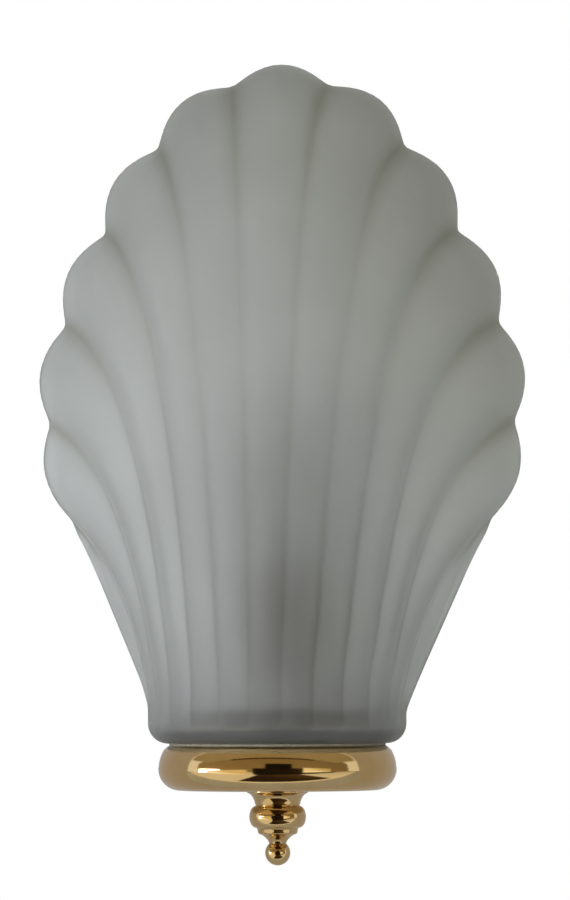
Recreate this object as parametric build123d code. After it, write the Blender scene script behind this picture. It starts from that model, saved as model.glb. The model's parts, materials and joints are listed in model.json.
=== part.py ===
from build123d import *
import math
import os

# Wall sconce with a scallop-shell glass shade, millimetres.
# +Z is up, the wall is the plane Y = 0 and the lamp stands out along -Y.
# The origin is midway between the two wall screws, on the back of the plate.
# All corner, groove and edge sizes inside a function belong to that piece alone.

# ---- overall sizes ----
shade_height = 251.5          # underside of the glass to the top of the rim guide
shade_half_width = 89.0       # centre line to the outermost notch
wall_gap = 3.6                # back of the glass neck to the wall
glass_drop = 73.0             # origin down to the underside of the glass

# ---- glass shell ----
lobe_count = 11
glass_wall = 4.0
neck_radius = 48.4            # outside of the plain ring
neck_wall = 4.9
neck_under_arm = 1.1          # the arm clears the low back wall of the neck by this
floor_thickness = 6.0
floor_corner = 2.0            # slope between floor and ring, inside
shoulder_radius = 7.5
rod_hole_play = 0.7           # glass hole larger than the rod, all round
flute_step = 0.8              # flutes stand just inside the ring where they leave it
flute_angle = 14.4            # one rib of the neck
flute_start = 9.0             # height at which the flutes leave the ring
flute_bulge = 0.035           # rib height over rib width, at the neck
rim_bulge_top = 0.215         # the same at the rim, top lobe
rim_bulge_low = 0.150         # and lowest lobe
rim_set_back = 16.0           # rim behind the axis, at its lower end
rim_lean = 5.0                # how much further back its top is
side_edge_height = 73.0       # where the smooth side edge meets the lobed rim
crest_low = (30.0, 0.465)     # guides of the front profile: forward of the axis, share of height
crest_high = (45.0, 0.954)
edge_rise = 1.3               # how late the side edges climb
edge_spread = 1.45            # and how late the shell widens
section_levels = (0.0, 0.1, 0.25, 0.42, 0.6, 0.79, 1.0)
side_edge_share = 0.92        # side edge meets the rim at this share of the lowest notch
# right half of the rim outline, as shares of half width and height
rim_guide = ((0.0, 1.0), (0.632, 0.842), (0.867, 0.695), (1.0, 0.488), (0.9, 0.335))
rim_guide_end = (-0.55, -1.0)  # its direction at the lowest notch

# ---- brass below the glass ----
metal_wall = 1.0
gallery_inset = 3.9           # gallery edge inside the glass neck
gallery_height = 16.7
gallery_edge_radius = 8.0     # full-round edge
gallery_lip_width = 4.0
gallery_top_step = 0.1        # gallery lip wider than the flat underside of the glass
gallery_waist = 0.9           # how far the side draws in between edge and lip
finial_height = 28.0
finial_bead_radius = 10.6
finial_neck_radius = 3.1
finial_ball_radius = 4.7
finial_bore_spare = 2.0       # bore deeper than the rod reaches

# ---- stack on the rod ----
rod_radius = 5.0
rod_bore_radius = 3.5
thread_fit = 0.05
rod_engagement = 10.0         # rod inside the finial
gasket_thickness = 1.5
gasket_play = 0.3             # upper gasket inside the slope of the glass floor
upper_gasket_width = 4.5
lower_gasket_play = 0.6       # lower gasket inside the edge of the gallery lip
lower_gasket_thickness = 0.8
disc_play = 0.9               # disc inside the glass ring, all round
disc_wall = 1.0
disc_depth = 6.0
nut_wall = 2.0                # thinnest place of the nuts
nut_thickness = 3.0
spring_washer_thickness = 1.6
arm_thickness = 2.0
arm_width = 20.0
arm_leg = 34.0
arm_bend_radius = 1.5         # inside of the bend
rivet_radius = 2.0

# ---- lampholder and bulb ----
holder_radius = 14.0
holder_cap_height = 18.0
holder_barrel_height = 27.0
holder_wall = 2.6
holder_floor = 3.5
contact_hole_radius = 3.0
rod_in_holder = 8.0
entry_height = 11.0           # side hole of the holder above its lower face
contact_spring_height = 2.3   # centre contact above the holder's floor
contact_touch_gap = 0.1
sleeve_radius = 7.0           # inside of the threaded sleeve
sleeve_wall = 0.5
sleeve_length = 18.0
tab_width = 3.6               # sleeve's tab down through the holder's floor
tab_play = (0.35, 0.4)        # its slot is wider on each side, across and along the wall
cap_play = 0.25               # bulb cap inside the sleeve, all round
bulb_cap_length = 17.0
bulb_cap_wall = 0.4
bulb_button_radius = 2.2
bulb_contact_height = 1.0
bulb_insulator_height = 2.5
bulb_neck_in_cap = 6.0
bulb_radius = 17.5
bulb_length = 78.0
bulb_tip_radius = 3.0

# ---- back plate and wiring ----
plate_height = 110.0
plate_width = 64.0
plate_thickness = 2.0
plate_corner = 10.0
fixing_pitch = 48.0           # wall screws side by side, clear of the arm
fixing_hole_radius = 2.5
cable_hole_radius = 8.0
cable_hole_gap = 14.0         # terminal block to the edge of the cable hole
grommet_wall = 3.5            # edge of the cable hole to the bore of the grommet
grommet_lip = 1.8             # its width and its height
block_pitch = 10.0
block_end_wall = 0.5          # beyond three pitches, on each side
block_depth = 15.0
block_height = 17.0
block_gap = 0.5               # arm to the terminal block above it
block_screw_radius = 1.25
barrel_width = 5.2            # square brass inserts of the terminal block
barrel_wall = 0.9
terminal_screw_radius = 1.6
earth_inset = (6.0, 14.0)     # earth screw from the side and the foot of the plate
earth_washer_thickness = 0.8
earth_lug_thickness = 0.8
earth_screw_radius = 2.0
lug_barrel_radius = 1.7
lug_barrel_sink = 0.4         # crimped barrel let into the lug's flat
wire_radius = 1.0
wire_spread = 2.0             # gap between the two leads where they enter the holder
fit_gap = 0.05

# ---- places that follow from the sizes above ----
axis_to_wall = neck_radius + wall_gap
neck_height = floor_thickness + gasket_thickness + disc_depth + nut_thickness - neck_under_arm
rod_hole_radius = rod_radius + rod_hole_play
flute_radius = neck_radius - flute_step
gallery_radius = neck_radius - gallery_inset
gallery_floor_radius = gallery_radius - gallery_edge_radius
gallery_top_radius = neck_radius - shoulder_radius + gallery_top_step
gallery_lip_radius = gallery_top_radius - gallery_lip_width
disc_radius = neck_radius - neck_wall - disc_play
nut_across_flats = 2 * (rod_radius + nut_wall)
finial_bore_depth = rod_engagement + finial_bore_spare
bulb_cap_radius = sleeve_radius - cap_play
grommet_bore_radius = cable_hole_radius - grommet_wall
axis_y = -axis_to_wall
glass_z = -glass_drop
gallery_top_z = glass_z - lower_gasket_thickness
gallery_bottom_z = gallery_top_z - gallery_height
gasket_z = glass_z + floor_thickness
disc_z = gasket_z + gasket_thickness
lower_nut_z = disc_z + disc_depth
arm_z = lower_nut_z + nut_thickness
spring_washer_z = arm_z + arm_thickness
upper_nut_z = spring_washer_z + spring_washer_thickness
holder_z = upper_nut_z + nut_thickness
barrel_z = holder_z + holder_cap_height
contact_z = barrel_z + holder_floor
rod_bottom_z = gallery_bottom_z - rod_engagement
bulb_bottom_z = contact_z + contact_spring_height + contact_touch_gap
bulb_cap_z = bulb_bottom_z + bulb_contact_height + bulb_insulator_height
plate_foot_z = arm_z + arm_bend_radius    # the arm bends round below the plate
plate_middle_z = plate_foot_z + plate_height / 2
block_size = (3 * block_pitch + 2 * block_end_wall, block_depth, block_height)
block_bottom = arm_z + arm_leg + block_gap
cable_hole_height = block_bottom + block_height + cable_hole_gap + cable_hole_radius
earth_spot = (plate_width / 2 - earth_inset[0], plate_foot_z + earth_inset[1])
gasket_radius = neck_radius - neck_wall - floor_corner - gasket_play
tied_hole_radius = rod_radius + thread_fit
lamp_axis = Location((0, axis_y, 0))
foot_at_origin = (Align.CENTER, Align.CENTER, Align.MIN)
top_at_origin = (Align.CENTER, Align.CENTER, Align.MAX)
plate_face_y = -plate_thickness


def save(node, solids):
    """Write one named piece, or one group of like pieces."""
    group = solids if isinstance(solids, list) else [solids]
    body = group[0] if len(group) == 1 else Compound(children=group)
    body.label = node
    export_step(body, f"parts/{node}.step")


def turned(outline):
    """Revolve a closed outline of (radius, height) about the lamp's axis."""
    face = make_face(Plane.XZ * outline)
    return lamp_axis * revolve(face, Axis.Z)


def ring(inner, outer, bottom, height):
    """Plain ring or tube on the lamp's axis."""
    tube = Cylinder(outer, height, align=foot_at_origin)
    tube -= Cylinder(inner, height, align=foot_at_origin)
    return Location((0, axis_y, bottom)) * tube


def blend(low, high, share):
    return low + (high - low) * share


# ---- the scallop shell ----

def rim_notches():
    """Right-hand notches of the rim, from the top down, as (x, height)."""
    points = [(x * shade_half_width, z * shade_height) for x, z in rim_guide]
    guide = Spline(*points, tangents=((1, 0), rim_guide_end))
    steps = lobe_count / 2
    notches = [guide.position_at((k + 0.5) / steps) for k in range(lobe_count // 2 + 1)]
    return [(p.X, p.Y) for p in notches]


def crest_point(level):
    """Front profile of the shell as (forward of the axis, height)."""
    start = (flute_radius, flute_start)
    end = (-rim_set_back - rim_lean, shade_height)
    a, b = 1 - level, level
    weights = (a ** 3, 3 * a * a * b, 3 * a * b * b, b ** 3)
    low, high = [(forward, share * shade_height) for forward, share in (crest_low, crest_high)]
    guides = (start, low, high, end)
    forward = sum(w * g[0] for w, g in zip(weights, guides))
    height = sum(w * g[1] for w, g in zip(weights, guides))
    return forward, height


notches = rim_notches()
neck_angles = [flute_angle * (k + 0.5) for k in range(len(notches))]
edge_angle = neck_angles[-1] + flute_angle
edge_forward = flute_radius * math.cos(math.radians(edge_angle))
side_end = (notches[-1][0] * side_edge_share, side_edge_height)


def edge_point(level):
    """Foot of a section, midway between the two side edges."""
    forward = blend(edge_forward, -rim_set_back, level)
    height = flute_start + (side_edge_height - flute_start) * level ** edge_rise
    return forward, height


def groove_point(index, level):
    """Groove on the right half: index 0 is next to the middle, the last is the edge."""
    foot, crest = edge_point(level), crest_point(level)
    rise = (crest[0] - foot[0], crest[1] - foot[1])
    angle = math.radians((neck_angles + [edge_angle])[index])
    low_x = math.sin(angle)
    low_s = (flute_radius * math.cos(angle) - edge_forward) / (flute_radius - edge_forward)
    rim_x, rim_z = (notches + [side_end])[index]
    high_x = rim_x / shade_half_width
    high_s = (rim_z - side_edge_height) / (shade_height - side_edge_height)
    half_width = blend(flute_radius, shade_half_width, level ** edge_spread)
    along = blend(low_s, high_s, level)
    x = half_width * blend(low_x, high_x, level)
    forward = foot[0] + rise[0] * along
    return Vector(x, axis_y - forward, glass_z + foot[1] + rise[1] * along)


def mirrored(point):
    return Vector(-point.X, point.Y, point.Z)


def section_points(level):
    """Grooves and side ends from left to right."""
    right = [groove_point(k, level) for k in range(len(notches) + 1)]
    return [mirrored(p) for p in reversed(right)] + right


def inward(points, index, level, plane_normal):
    """Step in the section's plane that goes one wall thickness into the glass."""
    before, after = points[max(index - 1, 0)], points[min(index + 1, len(points) - 1)]
    across = (after - before).normalized()
    step = 0.02
    low = section_points(max(level - step, 0.0))[index]
    high = section_points(min(level + step, 1.0))[index]
    skin = across.cross((high - low).normalized()).normalized()
    in_plane = plane_normal.cross(across).normalized()
    return in_plane * (-glass_wall / in_plane.dot(skin))


def lobed_section(level):
    """Closed band of glass across the shell: lobes outside, the same lobes inside."""
    outer = section_points(level)
    foot, crest = edge_point(level), crest_point(level)
    up = Vector(0, -(crest[0] - foot[0]), crest[1] - foot[1]).normalized()
    plane_normal = up.cross(Vector(1, 0, 0)).normalized()
    steps = [inward(outer, k, level, plane_normal) for k in range(len(outer))]
    inner = [p + s for p, s in zip(outer, steps)]
    edges = []
    inner_edges = []
    last = len(outer) - 2
    for k in range(len(outer) - 1):
        chord = outer[k + 1] - outer[k]
        out = chord.cross(plane_normal).normalized()
        from_top = abs(k - last / 2) / (last / 2)
        share = blend(flute_bulge, blend(rim_bulge_top, rim_bulge_low, from_top), level)
        if k in (0, last):
            share = flute_bulge
        bulge = out * (share * chord.length)
        middle = (outer[k] + outer[k + 1]) * 0.5 + bulge
        inner_middle = (inner[k] + inner[k + 1]) * 0.5 + bulge
        edges.append(ThreePointArc(outer[k], middle, outer[k + 1]))
        inner_edges.append(ThreePointArc(inner[k], inner_middle, inner[k + 1]))
    edges.append(Line(outer[-1], inner[-1]))
    edges += reversed(inner_edges)
    edges.append(Line(inner[0], outer[0]))
    return Face(Wire(edges))


def glass_cup():
    """Round neck of the glass: floor, rounded shoulder and ring."""
    inner_radius = neck_radius - neck_wall
    top = neck_height - neck_wall / 2
    flat = neck_radius - shoulder_radius
    corner = floor_corner
    rise = floor_thickness + corner
    outline = Polyline((rod_hole_radius, 0), (flat, 0))
    outline += CenterArc((flat, shoulder_radius), shoulder_radius, -90, 90)
    outline += Line((neck_radius, shoulder_radius), (neck_radius, top))
    outline += CenterArc((neck_radius - neck_wall / 2, top), neck_wall / 2, 0, 180)
    outline += Polyline((inner_radius, top), (inner_radius, rise),
                        (inner_radius - corner, floor_thickness),
                        (rod_hole_radius, floor_thickness), (rod_hole_radius, 0))
    return Location((0, 0, glass_z)) * turned(outline)


def shell_shade():
    shell = loft([lobed_section(level) for level in section_levels])
    return glass_cup() + shell


# ---- brass gallery and finial ----

def gallery():
    """Pressed dish with a full-round edge and a lip that the glass rests on."""
    low, top = gallery_bottom_z, gallery_top_z
    edge = gallery_radius - gallery_floor_radius
    bend_z = low + edge
    waist = (gallery_radius - gallery_waist, blend(bend_z, top, 0.56))
    wall = metal_wall
    inner_top = (gallery_top_radius - wall / 2, top - wall)
    outline = Polyline((tied_hole_radius, low), (gallery_floor_radius, low))
    outline += CenterArc((gallery_floor_radius, bend_z), edge, -90, 90)
    outline += ThreePointArc((gallery_radius, bend_z), waist, (gallery_top_radius, top))
    outline += Polyline((gallery_top_radius, top), (gallery_lip_radius, top),
                        (gallery_lip_radius, top - wall), inner_top)
    outline += ThreePointArc(inner_top, (waist[0] - wall, waist[1] - wall / 3),
                             (gallery_radius - wall, bend_z))
    outline += CenterArc((gallery_floor_radius, bend_z), edge - wall, 0, -90)
    outline += Polyline((gallery_floor_radius, low + wall), (tied_hole_radius, low + wall),
                        (tied_hole_radius, low))
    return turned(outline)


def finial():
    """Turned end nut: flared collar, bead, taper and end ball."""
    top = gallery_bottom_z
    bead = finial_bead_radius
    ball = finial_ball_radius
    bore = tied_hole_radius

    def down(radius, share):
        return (radius, top - finial_height * share)

    outline = Polyline((bore, top), (bead + 0.9, top), down(bead + 0.9, 0.03))
    outline += ThreePointArc(down(bead + 0.9, 0.03), down(bead - 1.3, 0.09), down(bead - 2.2, 0.19))
    outline += Line(down(bead - 2.2, 0.19), down(bead - 2.6, 0.205))
    outline += ThreePointArc(down(bead - 2.6, 0.205), down(bead, 0.35), down(bead - 2.6, 0.5))
    outline += Polyline(down(bead - 2.6, 0.5), down(bead - 3.1, 0.52), down(bead - 3.3, 0.58))
    ball_z = top - finial_height + ball
    meet = math.degrees(math.acos(finial_neck_radius / ball))
    ball_top = ball_z + ball * math.sin(math.radians(meet))
    start = down(bead - 3.3, 0.58)
    waist = (blend(start[0], finial_neck_radius, 0.67), blend(start[1], ball_top, 0.52))
    outline += ThreePointArc(start, waist, (finial_neck_radius, ball_top))
    outline += CenterArc((0, ball_z), ball, meet, -90 - meet)
    outline += Polyline((0, ball_z - ball), (0, top - finial_bore_depth - 2.5),
                        (bore, top - finial_bore_depth), (bore, top))
    return turned(outline)


# ---- clamping stack ----

def clamp_disc():
    """Inverted dish: its rim presses on the gasket, its raised middle on the nut."""
    outer, wall, depth = disc_radius, disc_wall, disc_depth
    slope = depth * 0.8
    rim_height, rim_width, rim_bevel = 2.2, 3.0, 1.2
    profile = Polyline((tied_hole_radius, depth), (outer - slope, depth),
                       (outer - rim_bevel, rim_height), (outer, rim_height), (outer, 0),
                       (outer - rim_width, 0), (outer - rim_width, rim_height - 0.8 * wall),
                       (outer - slope - rim_bevel / 2, depth - wall), (tied_hole_radius, depth - wall),
                       (tied_hole_radius, depth))
    return Location((0, 0, disc_z)) * turned(profile)


def hex_nut(bottom):
    corner_radius = nut_across_flats / math.sqrt(3)
    nut = extrude(RegularPolygon(corner_radius, 6), nut_thickness)
    nut -= Cylinder(tied_hole_radius, 3 * nut_thickness)
    return Location((0, axis_y, bottom)) * nut


def spring_washer():
    """Split ring, its slit cut at a slant."""
    width, slit_width, slant = 2.8, 1.0, 20
    washer = ring(tied_hole_radius, rod_radius + width, spring_washer_z, spring_washer_thickness)
    slit_box = Box(width + 2.2, slit_width, 4 * spring_washer_thickness)
    slit = Location((rod_radius + 1.5, axis_y, spring_washer_z), (0, 0, slant)) * slit_box
    return washer - slit


def support_arm():
    """Bent strip: leg riveted to the plate, foot reaching forward to the rod."""
    t = arm_thickness
    reach = axis_to_wall + arm_width / 2
    back = plate_face_y
    side = Polyline((back, arm_z), (-reach, arm_z), (-reach, arm_z + t), (back - t, arm_z + t),
                    (back - t, arm_z + arm_leg), (back, arm_z + arm_leg), (back, arm_z))
    strip = extrude(Plane.YZ * make_face(side), arm_width / 2, both=True)
    inner_bend = strip.edges().filter_by(Axis.X).sort_by_distance((0, back - t, arm_z + t))[0]
    strip = fillet(inner_bend, arm_bend_radius)
    bend = strip.edges().filter_by(Axis.X).sort_by_distance((0, back, arm_z))[0]
    strip = fillet(bend, arm_bend_radius + t)
    ends = strip.edges().filter_by(Axis.Z).group_by(Axis.Y)[0]
    tip_flat = 0.4
    strip = fillet(ends, (arm_width - tip_flat) / 2)
    strip -= Location((0, axis_y, arm_z)) * Cylinder(tied_hole_radius, 6 * t)
    for z in rivet_heights():
        strip -= Location((0, back, z), (90, 0, 0)) * Cylinder(rivet_radius + fit_gap, 6 * t)
    return strip


def rivet_heights():
    """The leg of the arm holds its rivets at these shares of its length."""
    return [arm_z + arm_leg * share for share in (0.45, 0.8)]


def arm_rivet(z):
    """Rivet through arm and plate, with a domed head at the front."""
    shank_length = arm_thickness + plate_thickness
    front = plate_face_y - arm_thickness
    head_radius, head_height = rivet_radius * 1.9, 1.4
    shank = Cylinder(rivet_radius, shank_length, align=top_at_origin)
    head = Cone(head_radius, rivet_radius, head_height, align=foot_at_origin)
    return Location((0, front, z), (90, 0, 0)) * (shank + head)


# ---- back plate ----

def hole_y(x, z, radius):
    return Location((x, 0, z), (90, 0, 0)) * Cylinder(radius, 6 * plate_thickness)


def back_plate():
    sheet = extrude(RectangleRounded(plate_width, plate_height, plate_corner), plate_thickness)
    plate = Location((0, 0, plate_middle_z), (90, 0, 0)) * sheet
    for x in (fixing_pitch / 2, -fixing_pitch / 2):
        plate -= hole_y(x, 0, fixing_hole_radius)
    plate -= hole_y(0, cable_hole_height, cable_hole_radius)
    for z in rivet_heights():
        plate -= hole_y(0, z, rivet_radius + fit_gap)
    plate -= hole_y(earth_spot[0], earth_spot[1], earth_screw_radius + fit_gap)
    plate -= hole_y(block_screw_x(), block_screw_z(), block_screw_radius + fit_gap)
    return plate


def block_screw_z():
    return block_bottom + block_size[2] / 2


def cable_grommet():
    """Rubber ring with a groove that grips the edge of the cable hole."""
    lip, bevel, t = grommet_lip, 0.6, plate_thickness
    outer = cable_hole_radius + lip
    profile = Polyline((grommet_bore_radius, -t), (grommet_bore_radius, lip), (outer - bevel, lip),
                       (outer, lip - bevel), (outer, 0), (cable_hole_radius, 0),
                       (cable_hole_radius, -t), (grommet_bore_radius, -t))
    body = revolve(make_face(Plane.XZ * profile), Axis.Z)
    return Location((0, plate_face_y, cable_hole_height), (90, 0, 0)) * body


# ---- terminal block and earth ----

def block_ways():
    return [-block_pitch, 0.0, block_pitch]


def block_centre():
    return (0, plate_face_y - block_size[1] / 2, block_bottom + block_size[2] / 2)


def terminal_block():
    width, depth, height = block_size
    screw_shaft_play, groove_width, groove_depth = 0.6, 1.6, 1.5
    block = Location(block_centre()) * Box(width, depth, height)
    front = plate_face_y - depth
    for x in block_ways():
        side = barrel_width + 2 * fit_gap
        bore = Box(side, side, 2 * height)
        block -= Location((x, wire_y(), block_centre()[2])) * bore
        for z in screw_heights():
            shaft = Cylinder(terminal_screw_radius + screw_shaft_play, depth)
            block -= Location((x, wire_y() - depth / 2, z), (90, 0, 0)) * shaft
    for x in (-block_pitch / 2, block_pitch / 2):
        groove = Box(groove_width, 2 * groove_depth, 2 * height)
        block -= Location((x, front, block_centre()[2])) * groove
    hole = Location((block_screw_x(), 0, block_screw_z()), (90, 0, 0))
    return block - hole * Cylinder(block_screw_radius + fit_gap, 4 * depth)


def block_screw_x():
    """The block's screw passes between its first and middle ways."""
    return -block_pitch / 2


def wire_y():
    """Depth of the wires, a little nearer the wall than the block's middle."""
    return block_centre()[1] + 0.5


def screw_heights():
    middle = block_centre()[2]
    return [middle - block_size[2] / 4, middle + block_size[2] / 4]


def terminal_barrel(x):
    """Square brass insert with a bore for the wires and two tapped holes."""
    end_inset = 1.0
    length = block_size[2] - 2 * end_inset
    bore = Cylinder(barrel_width / 2 - barrel_wall, 2 * length)
    tube = Box(barrel_width, barrel_width, length) - bore
    tube = Location((x, wire_y(), block_centre()[2])) * tube
    for z in screw_heights():
        tap = Cylinder(terminal_screw_radius + fit_gap, barrel_width, align=foot_at_origin)
        tube -= Location((x, wire_y(), z), (90, 0, 0)) * tap
    return tube


def terminal_screw(x, z):
    """Headless screw that pinches the wire in its barrel."""
    length = 5.0
    screw = Cylinder(terminal_screw_radius, length, align=foot_at_origin)
    return Location((x, wire_y() - wire_radius, z), (90, 0, 0)) * screw


def slotted_screw(radius, grip, seat_y, x, z):
    """Cheese-head screw along Y with its slotted head at the front."""
    head_radius, head_height, slot_width = radius * 1.9, radius, 0.8
    shank = Cylinder(radius, grip, align=top_at_origin)
    head = Cylinder(head_radius, head_height, align=foot_at_origin)
    slot = Location((0, 0, head_height)) * Box(4 * radius, slot_width, head_height)
    return Location((x, seat_y, z), (90, 0, 0)) * (shank + head - slot)


def earth_washer():
    inner, outer = earth_screw_radius + fit_gap, earth_screw_radius * 2.4
    disc = Cylinder(outer, earth_washer_thickness, align=foot_at_origin)
    disc -= Cylinder(inner, 4 * earth_washer_thickness)
    return Location((earth_spot[0], plate_face_y, earth_spot[1]), (90, 0, 0)) * disc


def earth_lug():
    """Ring lug with a crimped barrel that points toward the middle of the plate."""
    seat = plate_face_y - earth_washer_thickness
    flat_radius, barrel_length, neck_length, neck_width = 4.0, 3.4, 4.0, 3.0
    neck_x, barrel_x = -5.0, -8.2
    flat = Cylinder(flat_radius, earth_lug_thickness, align=foot_at_origin)
    neck = Box(neck_length, neck_width, earth_lug_thickness, align=foot_at_origin)
    barrel = Cylinder(lug_barrel_radius, barrel_length)
    barrel -= Cylinder(wire_radius + fit_gap, 2 * barrel_length)
    lug = flat + Location((neck_x, 0, 0)) * neck
    lug += Location((barrel_x, 0, lug_barrel_radius - lug_barrel_sink), (0, 90, 0)) * barrel
    lug -= Cylinder(earth_screw_radius + fit_gap, 4 * earth_lug_thickness)
    return Location((earth_spot[0], seat, earth_spot[1]), (90, 0, 0)) * lug


# ---- internal wires ----

def wire(name, points):
    """Round lead along hand-chosen points, its bends as wide as the runs allow."""
    radii = []
    corners = [Vector(*p) for p in points]
    for before, here, after in zip(corners, corners[1:], corners[2:]):
        first, second = here - before, after - here
        half_turn = math.radians(first.get_angle(second)) / 2
        run_share = 0.45
        radii.append(run_share * min(first.length, second.length) / math.tan(half_turn))
    path = Wire(FilletPolyline(*points, radius=radii).edges())
    start = Plane(origin=path @ 0, z_dir=path % 0)
    lead = sweep(start * Circle(wire_radius), path=path)
    expected = math.pi * wire_radius ** 2 * path.length
    print(name, "bend radii", [round(r, 1) for r in radii],
          "volume ratio", round(lead.volume / expected, 4))
    return lead


def holder_entry():
    """Side hole of the lampholder cap that faces the wall."""
    return (0, axis_y + holder_radius, holder_z + entry_height)


def lead_to_holder(side):
    """Route from the underside of one terminal, forward into the holder."""
    x = -block_pitch if side < 0 else 0.0
    y, low = wire_y(), block_bottom
    entry = holder_entry()
    return [(x, y, low + 4), (x, y, low - 6), (x * 0.85 + 0.4, y - 5, low - 15),
            (side * 2.0, y - 15, entry[2] + 1.0), (side * 1.6, entry[1] - 8.5, entry[2] - 0.2)]


def earth_route():
    x, y, low = block_pitch, wire_y(), block_bottom
    seat_y = plate_face_y - earth_washer_thickness - lug_barrel_radius + lug_barrel_sink
    end_x = earth_spot[0] - 7.0
    return [(x, y, low + 4), (x - 0.6, y, low - 2.5), (x - 2.0, y + 2.0, low - 8.5),
            (x - 2.2, seat_y - 2.4, low - 14.8), (end_x - 6.5, seat_y, earth_spot[1]),
            (end_x, seat_y, earth_spot[1])]


# ---- lampholder ----

def lampholder_cap():
    """Moulded lower half: bored for the rod, hollow above it, with a side hole."""
    r, h = holder_radius, holder_cap_height
    room = r - holder_wall
    bevel = 2.0
    profile = Polyline((tied_hole_radius, 0), (r - bevel, 0), (r, bevel), (r, h), (room, h),
                       (room, rod_in_holder), (tied_hole_radius, rod_in_holder),
                       (tied_hole_radius, 0))
    cap = Location((0, 0, holder_z)) * turned(profile)
    x, y, z = holder_entry()
    slot_play = 0.7
    slot = SlotOverall(4 * wire_radius + wire_spread + 2 * slot_play,
                       2 * wire_radius + 2 * slot_play)
    cutter = extrude(slot, holder_wall * 2, both=True)
    return cap - Location((x, y, z), (90, 0, 0)) * cutter


def lampholder_barrel():
    """Moulded upper half: slightly tapered, with a floor for the contacts."""
    r, h, base = holder_radius, holder_barrel_height, holder_floor
    bore = sleeve_radius + sleeve_wall + fit_gap
    hole = contact_hole_radius
    profile = Polyline((hole, 0), (r, 0), (r, 3), (r - 0.8, 3.6), (r - 1.3, h - 1), (r - 2.3, h),
                       (bore, h), (bore, base), (hole, base), (hole, 0))
    barrel = Location((0, 0, barrel_z)) * turned(profile)
    slot_x = sleeve_radius + sleeve_wall / 2
    tab_slot = Box(sleeve_wall + 2 * tab_play[0], tab_width + 2 * tab_play[1], 2 * base + 2)
    return barrel - Location((slot_x, axis_y, barrel_z)) * tab_slot


def lampholder_sleeve():
    """Threaded metal sleeve for the bulb, with a tab down to its wire."""
    sleeve = ring(sleeve_radius, sleeve_radius + sleeve_wall, contact_z, sleeve_length)
    tab = Location((sleeve_radius + sleeve_wall / 2, axis_y, contact_z - holder_floor / 2 - 0.5))
    return sleeve + tab * Box(sleeve_wall, tab_width, holder_floor + 1.6)


def centre_contact():
    """Sprung brass strip under the bulb's tip, with a leg down through the floor."""
    strip = Polyline((-0.4, -holder_floor - 1.5), (-0.4, 1.6), (4.2, 2.0), (4.2, 2.3),
                     (-0.8, 1.95), (-0.8, -holder_floor - 1.5), (-0.4, -holder_floor - 1.5))
    plate = extrude(Plane.XZ * make_face(strip), 1.6, both=True)
    return Location((-1.2, axis_y, contact_z)) * plate


# ---- bulb ----

def bulb_contact():
    button = Cylinder(bulb_button_radius, bulb_contact_height, align=foot_at_origin)
    return Location((0, axis_y, bulb_bottom_z)) * button


def bulb_insulator():
    low, high = bulb_bottom_z + bulb_contact_height, bulb_cap_z
    narrow, wide = bulb_button_radius + 0.2, bulb_cap_radius - 1.15
    profile = Polyline((0, low), (narrow, low), (wide, high), (0, high), (0, low))
    return turned(profile)


def bulb_cap():
    return ring(bulb_cap_radius - bulb_cap_wall, bulb_cap_radius, bulb_cap_z, bulb_cap_length)


def bulb_envelope():
    """Candle bulb: neck in the cap, round belly and pointed tip."""
    neck = bulb_cap_radius - bulb_cap_wall - fit_gap
    cap_top = bulb_cap_z + bulb_cap_length
    low = cap_top - bulb_neck_in_cap
    belly = cap_top + bulb_length * 0.36
    tip = cap_top + bulb_length
    start, shoulder = (neck, cap_top + 0.5), (bulb_radius, belly)
    point = (bulb_tip_radius, tip - bulb_tip_radius)
    outline = Polyline((0, low), (neck, low), start)
    outline += TangentArc(shoulder, start, tangent=(0, -1))
    outline += TangentArc(shoulder, point, tangent=(0, 1))
    outline += CenterArc((0, tip - bulb_tip_radius), bulb_tip_radius, 0, 90)
    outline += Line((0, tip), (0, low))
    return turned(outline)


def main():
    os.makedirs("parts", exist_ok=True)
    save("back_plate", back_plate())
    save("cable_grommet", cable_grommet())
    save("support_arm", support_arm())
    save("arm_rivets", [arm_rivet(z) for z in rivet_heights()])
    save("terminal_block", terminal_block())
    save("terminal_barrels", [terminal_barrel(x) for x in block_ways()])
    save("terminal_screws", [terminal_screw(x, z) for x in block_ways() for z in screw_heights()])
    save("earth_washer", earth_washer())
    save("earth_lug", earth_lug())
    seat = plate_face_y - earth_washer_thickness - earth_lug_thickness
    grip = -seat
    save("earth_screw", slotted_screw(earth_screw_radius, grip, seat, earth_spot[0], earth_spot[1]))
    block_front = plate_face_y - block_size[1]
    save("block_screw", slotted_screw(block_screw_radius, -block_front, block_front,
                                  block_screw_x(), block_screw_z()))
    save("live_wire", wire("live_wire", lead_to_holder(-1)))
    save("neutral_wire", wire("neutral_wire", lead_to_holder(1)))
    save("earth_wire", wire("earth_wire", earth_route()))
    rod_top = holder_z + rod_in_holder
    save("threaded_rod", ring(rod_bore_radius, rod_radius, rod_bottom_z, rod_top - rod_bottom_z))
    save("lock_nuts", [hex_nut(lower_nut_z), hex_nut(upper_nut_z)])
    save("spring_washer", spring_washer())
    save("lampholder_cap", lampholder_cap())
    save("lampholder_barrel", lampholder_barrel())
    save("lampholder_sleeve", lampholder_sleeve())
    save("centre_contact", centre_contact())
    save("shell_shade", shell_shade())
    save("upper_gasket", ring(gasket_radius - upper_gasket_width, gasket_radius, gasket_z,
                              gasket_thickness))
    save("lower_gasket", ring(gallery_lip_radius, gallery_top_radius - lower_gasket_play,
                              gallery_top_z, lower_gasket_thickness))
    save("clamp_disc", clamp_disc())
    save("gallery", gallery())
    save("finial", finial())
    save("bulb_contact", bulb_contact())
    save("bulb_insulator", bulb_insulator())
    save("bulb_cap", bulb_cap())
    save("bulb_envelope", bulb_envelope())


main()
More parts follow.
